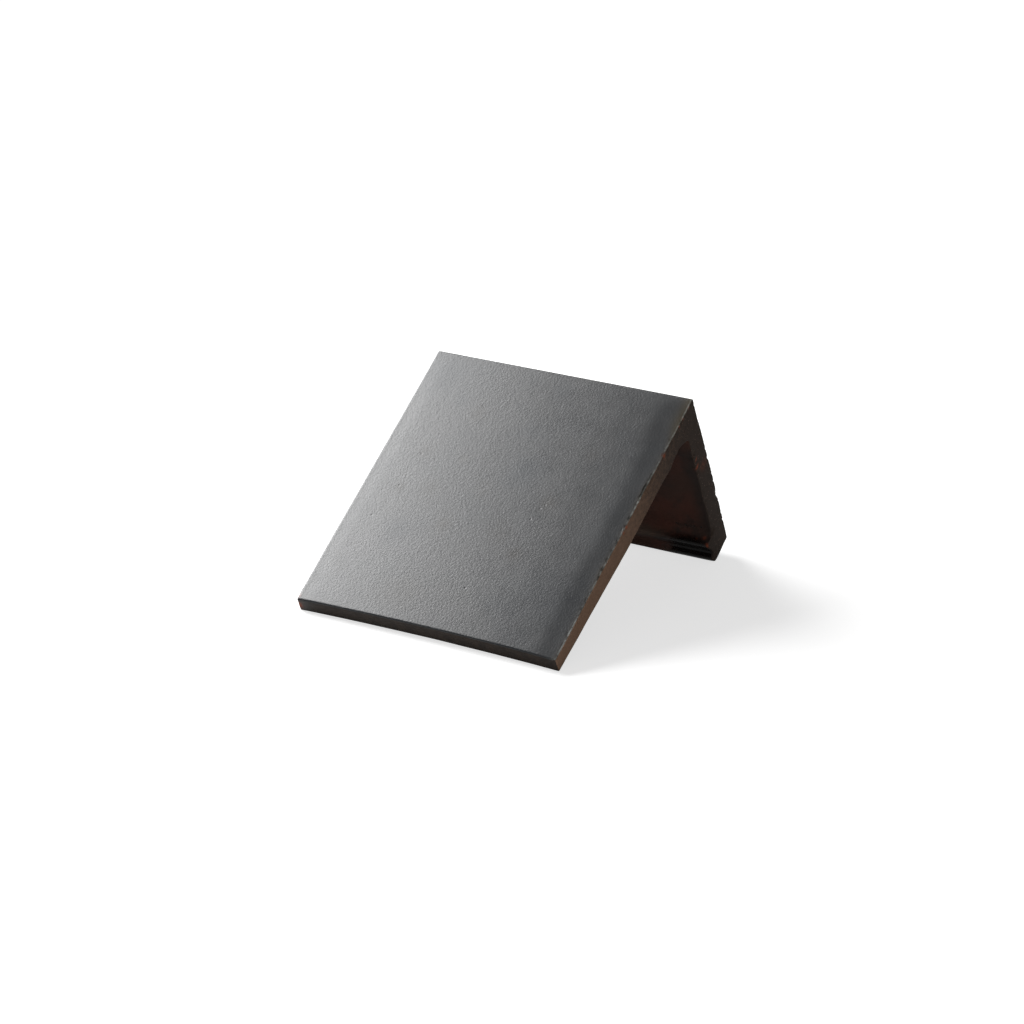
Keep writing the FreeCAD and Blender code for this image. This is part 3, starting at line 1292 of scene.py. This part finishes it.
@dataclass(frozen=True)
class SatinGlaze:
    """The dark satin glaze, with a pebbled surface and soft smudges."""

    body: Colour = (0.029, 0.030, 0.032)
    cool: Colour = (0.008, 0.012, 0.017)
    brown: Colour = (0.012, 0.009, 0.006)
    brown_strength: float = 0.85
    olive: Colour = (0.038, 0.027, 0.010)
    clouds: Grain = Grain(38.0, 3.0, 0.55, 1.0, 0.35, 0.7)
    cloud_cool: float = 0.35
    patches: Grain = Grain(17.0, 2.0, 0.6, 2.0, 0.3, 0.7)
    roughness: float = 0.30
    roughness_spread: float = 0.012
    dulled: float = 0.06
    pebbles: Grain = Grain(1.7, 1.0, 0.45, 3.0)
    pebble_height: float = 0.09
    ripples: Grain = Grain(5.5, 1.0, 0.5, 4.0)
    ripple_height: float = 0.024

    def laid(self, mixer: Mixer) -> Coat:
        """Makes the glaze as it lies on the faces.

        Args:
            mixer: The material's nodes.

        Returns:
            The finish.
        """
        clouded = tuple(a + (b - a) * self.cloud_cool for a, b in zip(self.body, self.cool))
        colour = mixer.tint(mixer.patches(self.clouds), self.body, clouded)
        colour = mixer.tint(mixer.reading(Tone.COOL.value), colour, self.cool)
        # Brown smudges, and the painted shade line along the ridge
        brown = mixer.sum("MULTIPLY", mixer.reading(Tone.BROWN.value), self.brown_strength)
        colour = mixer.tint(brown, colour, self.brown)
        colour = mixer.tint(mixer.reading("rim"), colour, self.olive)
        smooth, rough = self.roughness - self.roughness_spread, self.roughness + self.roughness_spread
        roughness = mixer.patches(self.patches, smooth, rough)
        roughness = mixer.sum("MULTIPLY_ADD", mixer.reading("dull"), self.dulled, roughness)
        pebbles = mixer.sum("MULTIPLY", mixer.grain(self.pebbles), self.pebble_height)
        height = mixer.sum("MULTIPLY_ADD", mixer.grain(self.ripples), self.ripple_height, pebbles)
        return Coat(colour, roughness, height)


@dataclass(frozen=True)
class CutClay:
    """The fired body of the tile, bare where its ends were cut."""

    body: Colour = (0.236, 0.137, 0.085)
    # The dark end of the clay, towards the ridge and the short leg: partly clay tone, partly painted shade
    dark: Colour = (0.034, 0.020, 0.012)
    tone_and_light_fall: Span = (-225.0, 25.0)
    mottle: Grain = Grain(5.0, 5.0, 0.75, 5.0, 0.25, 0.75)
    mottling: float = 0.2
    pale: Colour = (0.24, 0.15, 0.11)
    speck_spacing: float = 2.6
    speck_reach: Span = (0.10, 0.22)
    speck_strength: float = 0.55
    roughness: float = 0.9
    sand: Grain = Grain(0.7, 3.0, 0.6, 6.0)
    sand_height: float = 0.1
    drag: Grain = Grain(4.0, 2.0, 0.5, 7.0)
    drag_height: float = 0.12

    def laid(self, mixer: Mixer) -> Coat:
        """Makes the clay, browner and lighter towards the long leg's foot: partly the clay's own tone, partly
        painted light that falls off towards the ridge and the short leg.

        Args:
            mixer: The material's nodes.

        Returns:
            The finish.
        """
        # From dark to the body colour along the section: partly clay tone, partly painted light falling off
        # from the long foot
        tone_and_light_fall = mixer.rise(mixer.reading("place"), *self.tone_and_light_fall, 1.0, 0.0)
        mottle = mixer.patches(self.mottle, -self.mottling, self.mottling)
        tone_and_light_fall = mixer.rise(mixer.sum("ADD", tone_and_light_fall, mottle), 0.0, 1.0)
        specks = mixer.rise(mixer.cells(self.speck_spacing), *self.speck_reach, self.speck_strength, 0.0)
        colour = mixer.tint(specks, mixer.tint(tone_and_light_fall, self.dark, self.body), self.pale)
        sand = mixer.sum("MULTIPLY", mixer.grain(self.sand), self.sand_height)
        height = mixer.sum("MULTIPLY_ADD", mixer.grain(self.drag), self.drag_height, sand)
        return Coat(colour, self.roughness, height)


@dataclass(frozen=True)
class SmokedInside:
    """The unglazed inner side, browned by smoke, with redder patches, a painted shade band along the near end
    and painted light on the lip's nose.
    """

    body: Colour = (0.044, 0.015, 0.007)
    red: Colour = (0.068, 0.018, 0.008)
    red_clouds: Grain = Grain(42.0, 3.0, 0.55, 8.0, 0.45, 0.65)
    dark: Colour = (0.014, 0.007, 0.004)
    smoke: Grain = Grain(26.0, 4.0, 0.6, 9.0, 0.5, 0.72)
    # Painted light: the lighter brown laid on the lip's nose
    lip: Colour = (0.17, 0.125, 0.09)
    roughness: float = 0.85
    grit: Grain = Grain(1.3, 3.0, 0.6, 10.0)
    grit_height: float = 0.12

    def laid(self, mixer: Mixer) -> Coat:
        """Makes the inner side with clouds of red and of soot.

        Args:
            mixer: The material's nodes.

        Returns:
            The finish.
        """
        colour = mixer.tint(mixer.patches(self.red_clouds), self.body, self.red)
        colour = mixer.tint(mixer.patches(self.smoke), colour, self.dark)
        # Painted shade along the near end of the inner side
        colour = mixer.tint(mixer.reading("inner_end_shade"), colour, self.dark)
        # Painted light on the lip's nose
        colour = mixer.tint(mixer.reading("lip_nose_light"), colour, self.lip)
        return Coat(colour, self.roughness, mixer.sum("MULTIPLY", mixer.grain(self.grit), self.grit_height))


@dataclass(frozen=True)
class FootSkin:
    """The burnt brown skin of the feet."""

    body: Colour = (0.034, 0.022, 0.015)
    dark: Colour = (0.020, 0.013, 0.009)
    mottle: Grain = Grain(6.0, 4.0, 0.6, 11.0, 0.35, 0.65)
    grey: Colour = (0.062, 0.060, 0.057)
    roughness: float = 0.85
    grit: Grain = Grain(1.1, 3.0, 0.6, 12.0)
    grit_height: float = 0.09

    def laid(self, mixer: Mixer) -> Coat:
        """Makes the skin, greyer at the far corner.

        Args:
            mixer: The material's nodes.

        Returns:
            The finish.
        """
        colour = mixer.tint(mixer.patches(self.mottle), self.body, self.dark)
        colour = mixer.tint(mixer.reading("corner_bloom"), colour, self.grey)
        return Coat(colour, self.roughness, mixer.sum("MULTIPLY", mixer.grain(self.grit), self.grit_height))


@dataclass(frozen=True)
class BrokenEdge:
    """The thin pale line where the glaze breaks off: partly the broken glaze's own colour, partly a painted
    highlight along the edge.
    """

    colour: Colour = (0.26, 0.27, 0.255)
    inside: float = 0.7
    fades: Span = (0.28, 0.98)
    gaps: Grain = Grain(3.0, 3.0, 0.6, 13.0, 0.38, 0.62)
    in_gaps: float = 0.2

    def share(self, glaze_in: object, mixer: Mixer) -> Socket:
        """Finds where the line shows.

        Args:
            glaze_in: The distance inside the glaze's border.
            mixer: The material's nodes.

        Returns:
            A share from 0 to 1.
        """
        away = mixer.sum("ABSOLUTE", mixer.sum("SUBTRACT", glaze_in, self.inside))
        line = mixer.rise(away, *self.fades, 1.0, 0.0)
        bright = mixer.sum("MULTIPLY", mixer.reading("pale_edge_and_highlight"), line)
        return mixer.sum("MULTIPLY", bright, mixer.patches(self.gaps, self.in_gaps, 1.0))


@dataclass(frozen=True)
class FiredTile:
    """All the finishes of the tile, laid over each other as they lie on the real one."""

    glaze: SatinGlaze = SatinGlaze()
    clay: CutClay = CutClay()
    inside: SmokedInside = SmokedInside()
    foot: FootSkin = FootSkin()
    edge: BrokenEdge = BrokenEdge()
    ember: Colour = (0.42, 0.085, 0.028)
    black: Colour = (0.006, 0.005, 0.005)
    black_roughness: float = 0.22
    refraction: float = 1.55
    wander: Grain = Grain(2.6, 3.0, 0.6, 14.0)
    glaze_wander: float = 1.3
    foot_wander: float = 1.6
    cut_wander: float = 2.0
    soot_wander: float = 0.6
    # How dark the painted shade in the pits is
    pit_shade: float = 0.9
    glaze_border: Span = (-0.2, 0.2)
    foot_border: Span = (-0.5, 0.7)
    cut_border: Span = (-0.7, 0.7)
    ember_border: Span = (-0.2, 0.0)
    soot_border: Span = (0.15, 0.75)
    pit_border: Span = (0.1, 0.6)

    def material(self) -> bpy.types.Material:
        """Builds the material.

        Returns:
            The material.
        """
        material = bpy.data.materials.new("fired_tile")
        mixer = Mixer(material)
        coat = self.layered(mixer)
        bump = mixer.node("Bump", {"Distance": MM, "Height": coat.height}).outputs["Normal"]
        feeds = {"Base Color": coat.colour, "Roughness": coat.roughness, "Normal": bump}
        shader = mixer.node("BsdfPrincipled", feeds | {"IOR": self.refraction})
        mixer.node("OutputMaterial", {"Surface": shader.outputs["BSDF"]})
        return material

    def layered(self, mixer: Mixer) -> Coat:
        """Lays the finishes over each other.

        Args:
            mixer: The material's nodes.

        Returns:
            The finish that shows.
        """
        wander = mixer.sum("SUBTRACT", mixer.grain(self.wander), 0.5)

        def wandering(name: str, amount: float) -> Socket:
            """Returns a reading whose borders wander by an amount."""
            return mixer.sum("MULTIPLY_ADD", wander, amount, mixer.reading(name))

        glaze_in = wandering("glaze_in", self.glaze_wander)
        foot_share = mixer.rise(wandering("foot_in", self.foot_wander), *self.foot_border)
        cut_share = mixer.rise(wandering("cut_in", self.cut_wander), *self.cut_border)
        coat = self.inside.laid(mixer).under(self.foot.laid(mixer), foot_share, mixer)
        coat = coat.under(self.clay.laid(mixer), cut_share, mixer)
        coat = coat.under(self.glaze.laid(mixer), mixer.rise(glaze_in, *self.glaze_border), mixer)
        # The pale edge line: broken glaze and a painted highlight
        colour = mixer.tint(self.edge.share(glaze_in, mixer), coat.colour, self.edge.colour)
        ember = mixer.sum("MULTIPLY", mixer.reading("ember"), mixer.rise(wander, *self.ember_border))
        colour = mixer.tint(ember, colour, self.ember)
        soot = mixer.rise(wandering("soot", self.soot_wander), *self.soot_border)
        colour = mixer.tint(soot, colour, self.black)
        roughness = mixer.between(soot, coat.roughness, self.black_roughness)
        # Painted shade: the pits are darkened towards black
        pit = mixer.rise(mixer.reading("pit"), *self.pit_border, 0.0, self.pit_shade)
        return Coat(mixer.tint(pit, colour, self.black), roughness, coat.height)


# The tile as one piece


@dataclass
class RidgeTile:
    """The fired tile: a bent slab, one leg longer than the other."""

    section: TileSection = field(default_factory=TileSection)
    marks: FiringMarks = FiringMarks()
    finish: FiredTile = FiredTile()
    name: str = "fired_ridge_tile"

    def made(self) -> bpy.types.Object:
        """Builds the piece, dresses it, ties it to its body and hides the imported node.

        Returns:
            The finished object.
        """
        maker = Board(self.section)
        maker.close()
        maker.refine_near_edge()
        maker.refine_pits(self.marks.pits)
        maker.lay_out()
        mesh = bpy.data.meshes.new(self.name)
        maker.mesh.to_mesh(mesh)
        maker.mesh.free()
        self.shape(mesh, maker)
        mesh.polygons.foreach_set("use_smooth", [True] * len(mesh.polygons))
        mesh.calc_loop_triangles()
        LOG.info("%s: %d triangles", self.name, len(mesh.loop_triangles))
        mesh.materials.append(self.finish.material())
        piece = bpy.data.objects.new(self.name, mesh)
        bpy.context.scene.collection.objects.link(piece)
        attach(piece, BODY)
        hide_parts(NODE)
        return piece

    def shape(self, mesh: bpy.types.Mesh, maker: Board) -> None:
        """Bends the board, presses the pits in and stores the readings.

        Args:
            mesh: The mesh in board coordinates.
            maker: The board.
        """
        board = np.zeros((len(mesh.vertices), 3))
        mesh.vertices.foreach_get("co", board.ravel())
        shape = SlabShape(self.section, self.marks, board)
        points = shape.bent()
        mesh.vertices.foreach_set("co", points.ravel())
        self.face_outward(mesh)
        normals = np.zeros_like(board)
        mesh.vertex_normals.foreach_get("vector", normals.ravel())
        points, sunk = shape.sink_pits(points, normals, maker)
        mesh.vertices.foreach_set("co", points.ravel())
        readings = SurfaceReadings(self.section, self.marks, board).all_of() | {"pit": sunk}
        for name, values in readings.items():
            layer = mesh.attributes.new(name, "FLOAT", "POINT")
            layer.data.foreach_set("value", values.astype(np.float32))
        mesh.update()

    def face_outward(self, mesh: bpy.types.Mesh) -> None:
        """Turns every face of the bent slab outward.

        Args:
            mesh: The mesh.
        """
        bent = bmesh.new()
        bent.from_mesh(mesh)
        bmesh.ops.recalc_face_normals(bent, faces=bent.faces)
        bent.to_mesh(mesh)
        bent.free()
        mesh.update()


# The studio


@dataclass(frozen=True)
class Softbox:
    """A rectangular lamp that points at a place. Its brightness is what its face gives off."""

    name: str
    place: tuple[float, float, float]
    aim: tuple[float, float, float]
    width: float
    height: float
    brightness: float

    def hung(self) -> None:
        """Hangs the lamp."""
        lamp = bpy.data.lights.new(self.name, "AREA")
        lamp.shape = "RECTANGLE"
        lamp.size = self.width
        lamp.size_y = self.height
        lamp.energy = self.brightness * math.pi * self.width * self.height
        holder = bpy.data.objects.new(self.name, lamp)
        holder.location = self.place
        towards = Vector(self.aim) - Vector(self.place)
        holder.rotation_mode = "QUATERNION"
        holder.rotation_quaternion = towards.to_track_quat("-Z", "Y")
        holder.visible_camera = False
        bpy.context.scene.collection.objects.link(holder)


@dataclass(frozen=True)
class Viewpoint:
    """The camera's place round the tile, in degrees and metres."""

    azimuth: float = -58.204
    elevation: float = 21.776
    roll: float = 0.826
    distance: float = 2.95
    lens: float = 124.04
    aim_off_centre: tuple[float, float, float] = (-0.00493, 0.00004, -0.01503)

    def set_up(self) -> None:
        """Puts the camera in its place."""
        middle = (CAD_BOX[0] + CAD_BOX[1]) / 2.0 + Vector(self.aim_off_centre)
        level = Matrix.Rotation(math.radians(self.azimuth), 3, "Z")
        tilt = Matrix.Rotation(math.radians(90.0 - self.elevation), 3, "X")
        axes = level @ tilt @ Matrix.Rotation(-math.radians(self.roll), 3, "Z")
        place = middle + axes.col[2] * self.distance
        lens = bpy.data.cameras.new("viewpoint")
        lens.lens = self.lens
        camera = bpy.data.objects.new("viewpoint", lens)
        camera.matrix_world = Matrix.Translation(place) @ axes.to_4x4()
        bpy.context.scene.collection.objects.link(camera)
        bpy.context.scene.camera = camera


@dataclass(frozen=True)
class Studio:
    """A white floor under a pale sky, with one large softbox behind the ridge and a weak one in front."""

    key: Softbox = Softbox("key_softbox", (0.114, 1.011, 0.974), (-0.02, 0.0, 0.09), 1.096, 0.756, 11.8)
    fill: Softbox = Softbox("fill_softbox", (-1.45, -1.15, 0.5), (0.0, 0.0, 0.05), 1.3, 0.8, 1.9)
    white: Colour = (1.0, 1.0, 1.0)
    sky: float = 0.12
    sky_in_gloss: float = 0.13
    floor_colour: Colour = (0.6, 0.6, 0.6)
    floor_roughness: float = 0.9
    floor_shine: float = 0.2
    floor_lift: float = 0.66
    floor_lift_in_gloss: float = 0.1
    floor_lift_grows: Span = (250.0, 900.0)
    floor_size: float = 12.0

    def built(self) -> None:
        """Builds the floor, the lamps and the sky."""
        self.key.hung()
        self.fill.hung()
        self.light_sky()
        self.lay_floor()

    def light_sky(self) -> None:
        """Makes a sky that the camera sees as white and that lights the tile softly."""
        world = bpy.data.worlds.new("studio_sky")
        bpy.context.scene.world = world
        mixer = Mixer(world)
        path = mixer.node("LightPath", {}).outputs
        light = mixer.between(path["Is Glossy Ray"], self.sky, self.sky_in_gloss)
        strength = mixer.between(mixer.seen(path), light, 1.0)
        sky = mixer.node("Background", {"Color": self.white, "Strength": strength})
        mixer.node("OutputWorld", {"Surface": sky.outputs[0]})

    def lay_floor(self) -> None:
        """Lays the pale floor, which the camera sees lifted to white outside the shadow."""
        mesh = bpy.data.meshes.new("floor")
        plane = bmesh.new()
        bmesh.ops.create_grid(plane, x_segments=1, y_segments=1, size=self.floor_size / 2.0)
        plane.to_mesh(mesh)
        plane.free()
        floor = bpy.data.objects.new("floor", mesh)
        floor.location.z = CAD_BOX[0].z
        bpy.context.scene.collection.objects.link(floor)
        mesh.materials.append(self.floor_paint())

    def floor_paint(self) -> bpy.types.Material:
        """Makes the floor's material, whose lift grows outward as the lamp's light falls off.

        Returns:
            The material.
        """
        material = bpy.data.materials.new("floor_paint")
        mixer = Mixer(material)
        path = mixer.node("LightPath", {}).outputs
        glossy = mixer.sum("MULTIPLY", path["Is Glossy Ray"], self.floor_lift_in_gloss)
        seen = mixer.sum("MAXIMUM", mixer.seen(path), glossy)
        reach = mixer.node("VectorMath", {"Vector": mixer.places}, operation="LENGTH").outputs["Value"]
        lift = mixer.rise(reach, *self.floor_lift_grows, self.floor_lift, 1.0)
        feeds = {
            "Base Color": self.floor_colour,
            "Roughness": self.floor_roughness,
            "Specular IOR Level": self.floor_shine,
            "Emission Color": self.white,
            "Emission Strength": mixer.sum("MULTIPLY", seen, lift),
        }
        shader = mixer.node("BsdfPrincipled", feeds)
        mixer.node("OutputMaterial", {"Surface": shader.outputs["BSDF"]})
        return material


def main() -> None:
    """Builds the tile and the studio, and reports each piece."""
    logging.basicConfig(level=logging.INFO, format="%(name)s: %(message)s")
    bpy.context.scene.view_settings.view_transform = "Standard"
    tile = RidgeTile().made()
    LOG.info("made %s on body %s", tile.name, BODY)
    Studio().built()
    Viewpoint().set_up()


if __name__ == "__main__":
    main()
